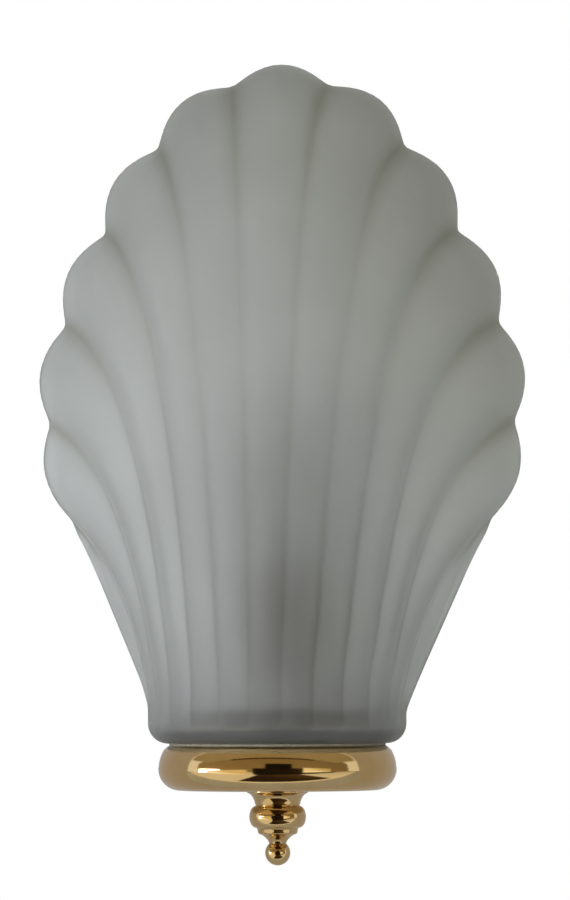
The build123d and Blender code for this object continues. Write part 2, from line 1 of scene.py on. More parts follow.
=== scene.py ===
import json
import math
import bmesh
import bpy
from mathutils import Matrix, Vector


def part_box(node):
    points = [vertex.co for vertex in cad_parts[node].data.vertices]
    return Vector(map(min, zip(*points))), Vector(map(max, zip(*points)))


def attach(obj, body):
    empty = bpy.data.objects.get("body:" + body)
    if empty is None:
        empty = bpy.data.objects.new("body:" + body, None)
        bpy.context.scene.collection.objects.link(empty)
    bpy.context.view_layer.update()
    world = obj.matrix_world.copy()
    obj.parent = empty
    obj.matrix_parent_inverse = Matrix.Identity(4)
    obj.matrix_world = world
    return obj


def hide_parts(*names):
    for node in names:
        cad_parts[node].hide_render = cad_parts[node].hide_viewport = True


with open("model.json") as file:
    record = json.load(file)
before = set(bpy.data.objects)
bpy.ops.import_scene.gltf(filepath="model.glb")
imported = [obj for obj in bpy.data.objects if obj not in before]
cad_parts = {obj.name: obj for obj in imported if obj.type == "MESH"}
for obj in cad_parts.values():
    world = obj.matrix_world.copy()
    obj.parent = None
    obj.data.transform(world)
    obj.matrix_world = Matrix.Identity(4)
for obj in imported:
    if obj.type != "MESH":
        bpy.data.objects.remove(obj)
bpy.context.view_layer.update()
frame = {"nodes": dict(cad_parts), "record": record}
mm = 0.001
nodes = frame["nodes"]
bpy.context.scene.view_settings.view_transform = "Standard"
print("frame loaded,", len(nodes), "CAD nodes")

viewpoint = {
    "azimuth": 5.7,          # degrees towards the right-hand side
    "elevation": -2.3,       # the picture is taken from about the height of the brass
    "distance": 2.2,         # metres
    "lens": 235.2,           # mm
    "sensor": 36,            # mm, along the picture's height
    "roll": 0.15,            # the lamp leans a little to the left in the picture
    "aimSide": 0.0031,       # metres to the right of the lamp's axis
    "aimHeight": 0.0366,
}


def boxMm(node):
    low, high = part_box(node)
    return [v / mm for v in low], [v / mm for v in high]


ringLow, ringHigh = boxMm("gallery")
axisX = 0.0
axisY = (ringLow[1] + ringHigh[1]) / 2      # the lamp's own upright axis, mm


def makeCamera(spec):
    az, el = math.radians(spec["azimuth"]), math.radians(spec["elevation"])
    away = Vector((math.sin(az) * math.cos(el), -math.cos(az) * math.cos(el), math.sin(el)))
    side = Vector((math.cos(az), math.sin(az), 0))
    target = Vector((axisX * mm, axisY * mm, spec["aimHeight"])) + side * spec["aimSide"]
    data = bpy.data.cameras.new("photoCamera")
    data.lens = spec["lens"]
    data.sensor_width = spec["sensor"]
    camera = bpy.data.objects.new("photoCamera", data)
    turn = away.to_track_quat("Z", "Y").to_matrix().to_4x4()
    camera.matrix_world = (Matrix.Translation(target + away * spec["distance"]) @ turn
                           @ Matrix.Rotation(math.radians(-spec["roll"]), 4, "Z"))
    bpy.context.scene.collection.objects.link(camera)
    bpy.context.scene.camera = camera


def linear(hexColour):
    # sRGB hex to the linear values that shaders use
    parts = [int(hexColour[i:i + 2], 16) / 255 for i in (1, 3, 5)]
    values = [c / 12.92 if c <= 0.04045 else ((c + 0.055) / 1.055) ** 2.4 for c in parts]
    return (*values, 1.0)


def addNode(tree, kind, links=None, **settings):
    # links: socket name or number -> a value, or an output to connect
    node = tree.nodes.new("ShaderNode" + kind)
    for name, value in settings.items():
        setattr(node, name, value)
    for socket, value in (links or {}).items():
        if isinstance(value, bpy.types.NodeSocket):
            tree.links.new(value, node.inputs[socket])
        else:
            node.inputs[socket].default_value = value
    return node


def newTree(name):
    material = bpy.data.materials.new(name)
    material.use_nodes = True
    material.node_tree.nodes.clear()
    return material, material.node_tree


lampShape = 0.7              # height of a lamp's face over its width
lampAim = 0.03               # metres, the height on the axis that all lamps aim at
lamps = {
    # name: (place and width in metres, watts, colour, shows in metal)
    "windowLeft": ((-1.9, -1.0, -0.22), 0.9, 21.0, "#EEF3FF", True),
    "windowFront": ((-0.5, -2.1, 0.1), 0.8, 12.0, "#FBFCFF", False),
    "roomRight": ((1.8, -1.3, 0.1), 0.9, 3.0, "#FFF0DC", False),
    "ceiling": ((-0.1, -0.5, 1.9), 1.2, 3.0, "#FFFFFF", True),
}


def makeLights():
    target = Vector((0, axisY * mm, lampAim))
    for name, (place, width, watts, colour, inMetal) in lamps.items():
        data = bpy.data.lights.new(name, "AREA")
        data.shape = "RECTANGLE"
        data.size, data.size_y = width, width * lampShape
        data.energy = watts
        data.color = linear(colour)[:3]
        light = bpy.data.objects.new(name, data)
        light.location = place
        light.visible_glossy = inMetal
        light.rotation_euler = (Vector(place) - target).to_track_quat("Z", "Y").to_euler()
        bpy.context.scene.collection.objects.link(light)


worldSpec = {"soft": "#EDF1F4", "softStrength": 0.42, "whiteStrength": 1.0}


def makeWorld(spec):
    # white where the eye, a mirror or glass looks, softer where it only lights
    world = bpy.data.worlds.new("studio")
    world.use_nodes = True
    bpy.context.scene.world = world
    tree = world.node_tree
    tree.nodes.clear()
    path = addNode(tree, "LightPath")
    seen = addNode(tree, "Math", {0: path.outputs["Is Camera Ray"],
                                  1: path.outputs["Is Glossy Ray"]}, operation="MAXIMUM")
    seen = addNode(tree, "Math", {0: seen.outputs[0],
                                  1: path.outputs["Is Transmission Ray"]}, operation="MAXIMUM")
    soft = addNode(tree, "Background", {"Color": linear(spec["soft"]),
                                        "Strength": spec["softStrength"]})
    white = addNode(tree, "Background", {"Color": (1, 1, 1, 1),
                                         "Strength": spec["whiteStrength"]})
    both = addNode(tree, "MixShader", {0: seen.outputs[0], 1: soft.outputs[0],
                                       2: white.outputs[0]})
    addNode(tree, "OutputWorld", {"Surface": both.outputs[0]})


floorSpec = {"size": 8.0, "height": -0.42, "paint": "#EFEFEE", "whiteShare": 0.85}


def makeSheet(name, width, height, material):
    # upright rectangle about its own middle, facing along Y
    mesh = bpy.data.meshes.new(name)
    x, z = width / 2, height / 2
    mesh.from_pydata([(-x, 0, -z), (x, 0, -z), (x, 0, z), (-x, 0, z)], [], [(0, 1, 2, 3)])
    mesh.materials.append(material)
    sheet = bpy.data.objects.new(name, mesh)
    bpy.context.scene.collection.objects.link(sheet)
    return sheet


def makeFloor(spec):
    # pale studio floor well under the lamp, white to the camera except for the shade on it
    material, tree = newTree("matPaintedFloor")
    path = addNode(tree, "LightPath")
    paint = addNode(tree, "BsdfDiffuse", {"Color": linear(spec["paint"])})
    glow = addNode(tree, "Emission", {"Color": (1, 1, 1, 1), "Strength": 1.0})
    share = addNode(tree, "Math", {0: path.outputs["Is Camera Ray"], 1: spec["whiteShare"]},
                    operation="MULTIPLY")
    both = addNode(tree, "MixShader", {0: share.outputs[0], 1: paint.outputs[0],
                                       2: glow.outputs[0]})
    addNode(tree, "OutputMaterial", {"Surface": both.outputs[0]})
    floor = makeSheet("studioFloor", spec["size"], spec["size"], material)
    floor.rotation_euler = (math.radians(90), 0, 0)
    floor.location = (0, 0, spec["height"])


cards = {
    # seen only by mirror rays in metal, or by rays through glass, and never by the camera:
    # middle, width, height in metres, tip in degrees, two colours, brightness, rays
    "cardWall": ((0, 0.02, 0.1), 9.0, 7.0, 0, ("#B0ABA6", "#B0ABA6"), 1.0, "glossy"),
    "cardBacking": ((0, 0.01, 0.05), 0.5, 0.5, 0, ("#F8FBFF", "#979688"), 1.04, "transmission"),
    "cardFar": ((0, 0.015, 0.1), 6.0, 5.0, 0, ("#C4C6C6", "#C4C6C6"), 1.0, "transmission"),
    "cardRoom": ((0, -3.2, 0.4), 30.0, 7.0, 0, ("#A58F66", "#8C7B5C"), 1.0, "glossy"),
    "cardCeiling": ((0, -1.8, 2.4), 14.0, 3.4, 90, ("#A89A7C", "#A89A7C"), 1.0, "glossy"),
    "cardRug": ((0, -1.7, -0.40), 8.0, 3.0, 90, ("#F6F1E4", "#8F8260"), 1.0, "glossy"),
    "cardStand": ((0.09, -0.80, -0.19), 0.66, 0.44, 0, ("#1C1511", "#2A1F18"), 1.0, "glossy"),
    "cardStandTop": ((0.09, -0.79, 0.08), 0.34, 0.20, 0, ("#1A1512", "#1A1512"), 1.0, "glossy"),
    "cardMat": ((0.10, -0.52, -0.39), 0.56, 0.56, 90, ("#33241A", "#54402A"), 1.0, "glossy"),
    "cardLedge": ((0.95, -0.80, -0.33), 1.1, 0.12, 0, ("#1A1410", "#1A1410"), 1.0, "glossy"),
    "cardPaneLeft": ((-0.95, -0.75, -0.21), 1.3, 0.38, 0, ("#FFFDF4", "#D9C79C"), 1.4, "glossy"),
    "cardPaneRight": ((0.78, -0.78, -0.10), 0.72, 0.30, 0, ("#FFF4D8", "#C9B88E"), 1.3, "glossy"),
    "cardShelf": ((0, -1.75, 1.15), 3.2, 0.16, 0, ("#3A2A18", "#3A2A18"), 1.0, "glossy"),
}


cardFade = {"across": 1.3, "up": 1.0, "reach": 0.4}      # direction of the fade, and half its run


def makeCards(fade):
    # each card fades from its first colour, low on the left, to its second
    for name, (middle, width, height, tip, colours, glow, rays) in cards.items():
        material, tree = newTree("matPaintOf" + name)
        place = addNode(tree, "TexCoord").outputs["Object"]
        direction = (fade["across"] / width, 0, fade["up"] / height)
        along = addNode(tree, "VectorMath", {0: place, 1: direction}, operation="DOT_PRODUCT")
        share = addNode(tree, "MapRange", {"Value": along.outputs["Value"],
                                           "From Min": -fade["reach"], "From Max": fade["reach"]})
        colour = addNode(tree, "Mix", {0: share.outputs[0], 6: linear(colours[0]),
                                       7: linear(colours[1])}, data_type="RGBA")
        paint = addNode(tree, "Emission", {"Color": colour.outputs[2], "Strength": glow})
        addNode(tree, "OutputMaterial", {"Surface": paint.outputs[0]})
        card = makeSheet(name, width, height, material)
        card.location = middle
        card.rotation_euler = (math.radians(tip), 0, 0)
        card.visible_camera = False
        card.visible_diffuse = False
        card.visible_shadow = False
        card.visible_glossy = rays == "glossy"
        card.visible_transmission = rays == "transmission"


makeCamera(viewpoint)
makeLights()
makeWorld(worldSpec)
makeFloor(floorSpec)
makeCards(cardFade)
print("camera, lights and floor made")


touching = 1e-7              # metres, points closer than this are one
noLength = 1e-8              # metres, an edge shorter than this is none


def finishMesh(name, points, faces, material, body, replaced, sharpAngle=38, foldShadeTints=None):
    # points in mm; joins equal points, points the skin outwards and smooths all but real edges
    mesh = bpy.data.meshes.new(name)
    mesh.from_pydata([(x * mm, y * mm, z * mm) for x, y, z in points], [], faces)
    # the painted shade of the glass folds rides on the points as an attribute
    if foldShadeTints is not None:
        layer = mesh.attributes.new("groove", "FLOAT", "POINT")
        layer.data.foreach_set("value", foldShadeTints)
    work = bmesh.new()
    work.from_mesh(mesh)
    bmesh.ops.remove_doubles(work, verts=work.verts, dist=touching)
    bmesh.ops.dissolve_degenerate(work, dist=noLength, edges=work.edges)
    bmesh.ops.recalc_face_normals(work, faces=work.faces)
    limit = math.radians(sharpAngle)
    for edge in work.edges:
        edge.smooth = edge.calc_face_angle(0) < limit
    for face in work.faces:
        face.smooth = True
    work.to_mesh(mesh)
    work.free()
    piece = bpy.data.objects.new(name, mesh)
    bpy.context.scene.collection.objects.link(piece)
    mesh.materials.append(material)
    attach(piece, body)
    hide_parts(*replaced)
    return piece


cornerShare = 0.48           # of a side's length, the most that a rounding takes
onAxis = 1e-6                # mm


def roundCorners(corners, steps=5):
    # corners: (radius, height, rounding) in mm around a closed outline
    outline = []
    count = len(corners)
    for i, (r, z, rounding) in enumerate(corners):
        here = Vector((r, z))
        before = Vector(corners[i - 1][:2]) - here
        after = Vector(corners[(i + 1) % count][:2]) - here
        if rounding <= 0 or before.length == 0 or after.length == 0:
            outline.append((r, z))
            continue
        reach = min(rounding, before.length * cornerShare, after.length * cornerShare)
        start, end = here + before.normalized() * reach, here + after.normalized() * reach
        for k in range(steps + 1):
            t = k / steps
            p = start * (1 - t) ** 2 + here * 2 * t * (1 - t) + end * t * t
            outline.append((p.x, p.y))
    return outline


def arc(centreR, centreZ, radius, start, end, steps=12):
    # points of a circle arc, angles in degrees, as outline corners
    points = []
    for k in range(steps + 1):
        a = math.radians(start + (end - start) * k / steps)
        points.append((centreR + radius * math.cos(a), centreZ + radius * math.sin(a), 0))
    return points


def spin(outline, segments=96, ripple=None):
    # turns a closed outline of (radius, height) about the lamp's axis
    points, faces = [], []
    count = len(outline)
    for s in range(segments):
        angle = 2 * math.pi * s / segments
        for r, z in outline:
            if ripple:
                r, z = ripple(angle, r, z)
            points.append((axisX + r * math.sin(angle), axisY - r * math.cos(angle), z))
    for s in range(segments):
        t = (s + 1) % segments
        for k in range(count):
            j = (k + 1) % count
            if outline[k][0] < onAxis and outline[j][0] < onAxis:
                continue          # an outline run on the axis has no skin
            faces.append((s * count + k, t * count + k, t * count + j, s * count + j))
    return points, faces


perMetre = 1000              # texture coordinates come in metres, grain sizes in mm
noiseLow, noiseHigh = 0.3, 0.7      # most of a noise lies between these
noiseRoughness = 0.55


def finishMaterial(name, look, sockets):
    # look: two colours and roughnesses that a cloudy pattern mixes, and a fine grain for the bump
    material, tree = newTree(name)
    place = addNode(tree, "TexCoord").outputs["Object"]
    cloud = addNode(tree, "TexNoise", {"Vector": place, "Scale": perMetre / look["cloudMm"],
                                       "Detail": 3.0, "Roughness": noiseRoughness})
    stretched = addNode(tree, "Mapping", {"Vector": place, "Scale": look.get("stretch", (1, 1, 1))})
    grain = addNode(tree, "TexNoise", {"Vector": stretched.outputs[0], "Detail": 2.0,
                                       "Scale": perMetre / look["grainMm"],
                                       "Roughness": noiseRoughness})
    share = addNode(tree, "MapRange", {"Value": cloud.outputs[0], "From Min": noiseLow,
                                       "From Max": noiseHigh})
    colour = addNode(tree, "Mix", {0: share.outputs[0], 6: linear(look["colours"][0]),
                                   7: linear(look["colours"][1])}, data_type="RGBA").outputs[2]
    # painted shade: the colour is mixed towards a dark olive along the folds
    if "fold" in look:
        groove = addNode(tree, "Attribute", attribute_name="groove")
        depth = addNode(tree, "Math", {0: groove.outputs["Fac"], 1: look["foldShadeShare"]},
                        operation="MULTIPLY")
        colour = addNode(tree, "Mix", {0: depth.outputs[0], 6: colour, 7: linear(look["fold"])},
                         data_type="RGBA").outputs[2]
    roughness = addNode(tree, "MapRange", {"Value": grain.outputs[0], "From Min": noiseLow,
                                           "From Max": noiseHigh, "To Min": look["rough"][0],
                                           "To Max": look["rough"][1]})
    bump = addNode(tree, "Bump", {"Height": grain.outputs[0], "Distance": look["bumpMm"] * mm})
    shader = addNode(tree, "BsdfPrincipled", {"Base Color": colour, **sockets,
                                              "Roughness": roughness.outputs[0],
                                              "Normal": bump.outputs[0]})
    addNode(tree, "OutputMaterial", {"Surface": shader.outputs[0]})
    return material


metal = {"Metallic": 1.0}
moulding = {"IOR": 1.5}

etchedGlass = {
    # soda-lime glass, pressed and acid etched: silky grey with no mirror shine, a soft shadow
    # of what is close behind it, and painted shade, darker and olive, along the folds
    "colours": ("#BCBFBD", "#C4C7C5"), "cloudMm": 38.0,
    "rough": (0.54, 0.62), "grainMm": 0.55,      # real etch is 0.05 mm, drawn coarser to show
    # fold is the colour of the painted shade in the folds
    "bumpMm": 0.01, "fold": "#77785F", "foldShadeShare": 0.55,
}
polishedBrass = {
    # brass, spun and turned, buffed and lacquered: warm mirror with a faint buffing haze
    "colours": ("#CBAE78", "#D6BA88"), "cloudMm": 14.0,
    "rough": (0.06, 0.11), "grainMm": 0.4, "stretch": (1, 1, 6), "bumpMm": 0.001,
}
opalGlass = {
    # blown opal glass: thin milk white that lets light on without bending it, so its IOR is low
    "colours": ("#EEEDE8", "#F6F5F1"), "cloudMm": 20.0,
    "rough": (0.42, 0.50), "grainMm": 4.0, "bumpMm": 0.02,
}
zincPlate = {
    # cold-rolled steel, bright zinc plated: grey with cloudy spangle and rolling lines
    "colours": ("#C6CACC", "#D8DBDD"), "cloudMm": 6.0,
    "rough": (0.38, 0.55), "grainMm": 0.5, "stretch": (1, 1, 8), "bumpMm": 0.01,
}
nickelPlate = {
    # turned steel, nickel plated: smoother and a little warmer
    "colours": ("#B9B6AE", "#CFCBC2"), "cloudMm": 2.0,
    "rough": (0.18, 0.32), "grainMm": 0.3, "bumpMm": 0.01,
}
drawnBrass = {
    # drawn brass, bare: yellow with brown tarnish
    "colours": ("#A98543", "#CFA85E"), "cloudMm": 1.6,
    "rough": (0.22, 0.42), "grainMm": 0.3, "bumpMm": 0.01,
}
brownedSteelAndShade = {
    # pressed steel, browned: near black, partly its finish and partly painted shade that darkens
    # the band it shows through the glass, with a dull sheen
    "colours": ("#15120E", "#1F1B16"), "cloudMm": 5.0,
    "rough": (0.38, 0.55), "grainMm": 0.5, "bumpMm": 0.01,
}
rolledAluminium = {
    # aluminium, rolled into a thread: pale grey with fine scuffs
    "colours": ("#C9CACA", "#DEDEDD"), "cloudMm": 2.5,
    "rough": (0.22, 0.40), "grainMm": 0.4, "stretch": (1, 1, 5), "bumpMm": 0.01,
}
phenolicAndPaintedLight = {
    # phenolic, compression moulded: half gloss with fine pits; its mid brown is partly its own
    # colour and partly painted light, lighter so it shows less dark through the glass
    "colours": ("#62574D", "#70655A"), "cloudMm": 4.0,
    "rough": (0.28, 0.42), "grainMm": 0.6, "bumpMm": 0.02,
}
blackGlass = {
    # black glass, melted into the bulb's cap: smooth and deep
    "colours": ("#15131A", "#221F26"), "cloudMm": 2.0,
    "rough": (0.12, 0.22), "grainMm": 0.6, "bumpMm": 0.02,
}
mouldedNylon = {
    # nylon, injection moulded: milky white with faint flow marks
    "colours": ("#DAD7CC", "#E6E3DA"), "cloudMm": 5.0,
    "rough": (0.38, 0.50), "grainMm": 0.5, "bumpMm": 0.02,
}
mouldedRubber = {
    # rubber, moulded: deep grey, dull, slightly dusty
    "colours": ("#1B1B1B", "#2B2A29"), "cloudMm": 3.0,
    "rough": (0.62, 0.80), "grainMm": 0.4, "bumpMm": 0.03,
}
foamRubber = {
    # foam rubber, cut from sheet: pale warm grey with open cells
    "colours": ("#7E7869", "#96907F"), "cloudMm": 1.2,
    "rough": (0.75, 0.92), "grainMm": 0.5, "bumpMm": 0.12,
}
brownPvc = {
    # PVC, extruded over copper: satin brown
    "colours": ("#54321E", "#633D26"), "cloudMm": 3.0,
    "rough": (0.34, 0.46), "grainMm": 0.4, "bumpMm": 0.02,
}
bluePvc = {**brownPvc, "colours": ("#23569B", "#2D66AE")}
earthPvc = {**brownPvc, "colours": ("#7DA32A", "#C9C22B")}    # green and yellow

finishes = {
    "frosted_glass": finishMaterial("matEtchedSodaGlass", etchedGlass,
                                    {"IOR": 1.5, "Transmission Weight": 0.93,
                                     "Specular IOR Level": 0.35}),
    "polished_brass": finishMaterial("matPolishedBrass", polishedBrass,
                                     {**metal, "Coat Weight": 0.35, "Coat Roughness": 0.04}),
    "opal_glass": finishMaterial("matOpalGlass", opalGlass,
                                 {"IOR": 1.08, "Transmission Weight": 0.7,
                                  "Subsurface Weight": 0.2,
                                  "Subsurface Radius": (0.002, 0.002, 0.002)}),
    "zinc_plated_steel": finishMaterial("matZincPlatedSteel", zincPlate, metal),
    "plated_fastener": finishMaterial("matNickelPlatedSteel", nickelPlate, metal),
    "terminal_brass": finishMaterial("matDrawnBrass", drawnBrass, metal),
    # the dish's near-black colour includes painted shade
    "bronzed_steel": finishMaterial("matBrownedSteelAndShade", brownedSteelAndShade, metal),
    "bulb_metal": finishMaterial("matRolledAluminium", rolledAluminium, metal),
    # the holder's brown includes painted light
    "dark_phenolic": finishMaterial("matPhenolicAndPaintedLight", phenolicAndPaintedLight, moulding),
    "bulb_insulation": finishMaterial("matBlackGlass", blackGlass, moulding),
    "white_nylon": finishMaterial("matMouldedNylon", mouldedNylon, moulding),
    "black_rubber": finishMaterial("matMouldedRubber", mouldedRubber, moulding),
    "soft_gasket": finishMaterial("matFoamRubber", foamRubber, moulding),
    "brown_insulation": finishMaterial("matBrownPvc", brownPvc, moulding),
    "blue_insulation": finishMaterial("matBluePvc", bluePvc, moulding),
    "earth_insulation": finishMaterial("matGreenYellowPvc", earthPvc, moulding),
}
print("materials made,", len(finishes))

shell = {
    # millimetres, the shell's own heights start at the underside of the glass
    "halfWidth": 89.0,
    "height": 251.5,
    "wall": 4.0,
    "notches": ((18.74, 248.75), (47.65, 225.15), (67.82, 192.90), (83.19, 158.21),
                (89.04, 120.75), (80.10, 84.25)),      # folds of the rim, top to side
    "neckRadius": 48.4,
    "neckWall": 4.9,
    "neckHeight": 15.4,
    "floor": 6.0,
    "floorCorner": 2.0,
    "shoulder": 7.5,
    "holeRadius": 5.7,
    "fluteRadius": 47.6,
    "fluteAngle": 14.4,
    "fluteStart": 9.0,
    "fluteBulge": 0.100,       # rib height over rib width at the neck
    "rimBulgeTop": 0.215,
    "rimBulgeLow": 0.150,
    "rimSetBack": 16.0,
    "rimLean": 5.0,
    "sideEdge": 73.0,
    "crestLow": (30.0, 116.95),
    "crestHigh": (45.0, 239.93),
    "edgeRise": 1.3,
    "edgeSpread": 1.45,
    "foldSoftness": 0.035,     # how far a fold is rounded, as a share of the rib
    "sideShare": 0.92,         # width at the top of the side edges over that at the last notch
    "sideBulge": 0.03,         # rib height over width of the two side ribs at the rim
    "rimRise": 0.8,            # height of the rounded rim over half the wall
    "rimStart": 0.86,          # the skin is drawn in for the rim from this level up
    "ringRib": 0.55,           # depth of the flutes on the neck
    "ringFade": 1.2,           # where the ring ends in the shell, over the top of its low rows
    "cornerLean": (0, 0.6, -0.4),      # how the rounded edge leans at the rim's two ends,
    "sideLean": (0.15, 1, -0.35),      # down both sides
    "ringLean": (0, 0.4, 1),           # and where it meets the ring
    "sideReach": (1.0, 1.5, 6),        # height of that edge at the ring, above it, rows between
    "sideFade": 3.0,           # columns over which the back takes over from the side edge
    "cornerInset": 0.35,       # middle of the floor's rounded corner, share of its radius
    "grooveWidth": 0.16,       # the painted olive shade of a fold: its width as a share of the rib,
    "groovePower": 1.5,        # how fast it fades,
    "grooveLow": 0.25,         # its strength at the neck
    "grooveStart": 0.55,       # and the level where it starts to deepen
    "crowding": 0.75,          # how much closer the columns stand near the folds
    "wallSpan": 3,             # columns on each side that a slope is taken from
    "ribColumns": 16,
    "backColumns": 5,
    "flatRows": 4,
    "shoulderRows": 8,
    "edgeRows": 4,
    "lowRows": 14,
    "highRows": 84,
}


def mixed(low, high, share):
    return low + (high - low) * share


def smoothFade(x, start, end):
    t = min(max((x - start) / (end - start), 0.0), 1.0)
    return t * t * (3 - 2 * t)


def makeShell(spec):
    notches = spec["notches"]
    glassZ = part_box("shell_shade")[0].z / mm
    foldCount = len(notches)
    angles = [spec["fluteAngle"] * (k + 0.5) for k in range(foldCount)]
    edgeAngle = angles[-1] + spec["fluteAngle"]
    edgeForward = spec["fluteRadius"] * math.cos(math.radians(edgeAngle))
    sideEnd = (notches[-1][0] * spec["sideShare"], spec["sideEdge"])

    def crestPoint(level):
        a, b = 1 - level, level
        weights = (a ** 3, 3 * a * a * b, 3 * a * b * b, b ** 3)
        guides = ((spec["fluteRadius"], spec["fluteStart"]), spec["crestLow"],
                  spec["crestHigh"], (-spec["rimSetBack"] - spec["rimLean"], spec["height"]))
        return (sum(w * g[0] for w, g in zip(weights, guides)),
                sum(w * g[1] for w, g in zip(weights, guides)))

    def edgePoint(level):
        rise = (spec["sideEdge"] - spec["fluteStart"]) * level ** spec["edgeRise"]
        return mixed(edgeForward, -spec["rimSetBack"], level), spec["fluteStart"] + rise

    def foldPoint(index, level):
        foot, crest = edgePoint(level), crestPoint(level)
        angle = math.radians((angles + [edgeAngle])[index])
        rimX, rimZ = (list(notches) + [sideEnd])[index]
        lowAlong = ((spec["fluteRadius"] * math.cos(angle) - edgeForward)
                    / (spec["fluteRadius"] - edgeForward))
        highAlong = (rimZ - spec["sideEdge"]) / (spec["height"] - spec["sideEdge"])
        half = mixed(spec["fluteRadius"], spec["halfWidth"], level ** spec["edgeSpread"])
        along = mixed(lowAlong, highAlong, level)
        x = half * mixed(math.sin(angle), rimX / spec["halfWidth"], level)
        return Vector((x, axisY - foot[0] - (crest[0] - foot[0]) * along,
                       glassZ + foot[1] + (crest[1] - foot[1]) * along))

    def sectionFolds(level):
        right = [foldPoint(k, level) for k in range(foldCount + 1)]
        left = [Vector((-p.x, p.y, p.z)) for p in reversed(right)]
        return left + right

    # shares across one rib, closer together near the folds
    columns = spec["ribColumns"]
    shares = [mixed(k / columns, 0.5 - 0.5 * math.cos(math.pi * k / columns),
                    spec["crowding"]) for k in range(columns)]
    soft = spec["foldSoftness"]
    top = math.hypot(0.5, soft) - soft

    def domeAt(share):
        # parabola of a rib whose foot is rounded into the fold
        d = math.hypot(min(share, 1 - share), soft) - soft
        d = 0.5 * d / top
        return 4 * d * (1 - d)

    intervals = 2 * foldCount + 1
    frontCount = intervals * columns + 1

    def outerRow(level):
        folds = sectionFolds(level)
        foot, crest = edgePoint(level), crestPoint(level)
        up = Vector((0, -(crest[0] - foot[0]), crest[1] - foot[1])).normalized()
        normal = up.cross(Vector((1, 0, 0))).normalized()
        row = []
        for k in range(intervals):
            chord = folds[k + 1] - folds[k]
            out = chord.cross(normal).normalized()
            fromTop = abs(k - (intervals - 1) / 2) / ((intervals - 1) / 2)
            bulge = mixed(spec["fluteBulge"],
                          mixed(spec["rimBulgeTop"], spec["rimBulgeLow"], fromTop), level)
            if k in (0, intervals - 1):
                bulge = mixed(spec["fluteBulge"], spec["sideBulge"], level)
            for s in shares:
                row.append(folds[k] + chord * s + out * (bulge * chord.length * domeAt(s)))
        row.append(folds[-1])
        return row

    def ringPoint(angle, radius, height):
        return Vector((radius * math.sin(angle), axisY - radius * math.cos(angle),
                       glassZ + height))

    columnAngles = []
    for k in range(intervals):
        low = -edgeAngle + k * spec["fluteAngle"]
        columnAngles += [math.radians(low + spec["fluteAngle"] * s) for s in shares]
    columnAngles.append(math.radians(edgeAngle))
    columnShares = [s for _ in range(intervals) for s in shares] + [0.0]

    # levels: the low rows end where the back of the ring has its top
    halfWall = spec["neckWall"] / 2
    ringTop = spec["neckHeight"] - halfWall
    joinLevel = ((ringTop - spec["fluteStart"])
                 / (spec["sideEdge"] - spec["fluteStart"])) ** (1 / spec["edgeRise"])
    lowRows, highRows = spec["lowRows"], spec["highRows"]
    levels = [joinLevel * k / lowRows for k in range(lowRows + 1)]
    levels += [mixed(joinLevel, 1.0, k / highRows) for k in range(1, highRows + 1)]
    rimRise = spec["wall"] / 2 * spec["rimRise"]
    edgeRows = spec["edgeRows"]
    outer = [outerRow(level) for level in levels]
    # draw the last part of the skin in a little, so the rounded rim ends at the edge line
    rimUp = [(a - b).normalized() for a, b in zip(outer[-1], outer[-3])]
    for r, level in enumerate(levels):
        drawn = rimRise * smoothFade(level, spec["rimStart"], 1.0)
        outer[r] = [p - u * drawn for p, u in zip(outer[r], rimUp)]

    # wall thickness along the true normal of the outer skin
    span = spec["wallSpan"]
    inner = []
    for r, row in enumerate(outer):
        below, above = outer[max(r - 1, 0)], outer[min(r + 1, len(outer) - 1)]
        line = []
        for c, p in enumerate(row):
            across = row[min(c + span, frontCount - 1)] - row[max(c - span, 0)]
            along = above[c] - below[c]
            out = across.cross(along).normalized()
            line.append(p - out * spec["wall"])
        inner.append(line)

    # the plain ring of the neck takes over below, with the flutes fading into it
    innerRadius = spec["neckRadius"] - spec["neckWall"]
    ringRib = spec["ringRib"]
    for r in range(len(levels)):
        fade = 1 - smoothFade(levels[r], 0.0, joinLevel * spec["ringFade"])
        if fade <= 0:
            continue
        for c in range(frontCount):
            height = outer[r][c].z - glassZ
            rib = ringRib * domeAt(columnShares[c])
            ring = ringPoint(columnAngles[c], spec["neckRadius"] - ringRib + rib, height)
            outer[r][c] = outer[r][c].lerp(ring, fade)
            ring = ringPoint(columnAngles[c], innerRadius, height)
            inner[r][c] = inner[r][c].lerp(ring, fade)

    # back columns, from the right side edge round to the left one
    backCount = round((360 - 2 * edgeAngle) / spec["fluteAngle"]) * spec["backColumns"]
    backTurn = 2 * math.pi - 2 * math.radians(edgeAngle)
    backAngles = [math.radians(edgeAngle) + backTurn * k / backCount
                  for k in range(1, backCount)]
    backShares = [(k % spec["backColumns"]) / spec["backColumns"] for k in range(1, backCount)]

    points, foldShadeTints, faces = [], [], []

    def addPoint(p, tint=0.0):
        points.append((p.x, p.y, p.z))
        foldShadeTints.append(tint)
        return len(points) - 1

    allAngles = columnAngles + backAngles
    allShares = columnShares + backShares

    def roundRow(radius, height, ribHeight=0.0):
        return [addPoint(ringPoint(a, radius - ribHeight * (1 - domeAt(s)), height))
                for a, s in zip(allAngles, allShares)]

    def stitch(rows, closed):
        # faces between each row of point numbers and the next
        count = len(rows[0])
        for first, second in zip(rows, rows[1:]):
            for c in range(count if closed else count - 1):
                d = (c + 1) % count
                faces.append((first[c], first[d], second[d], second[c]))

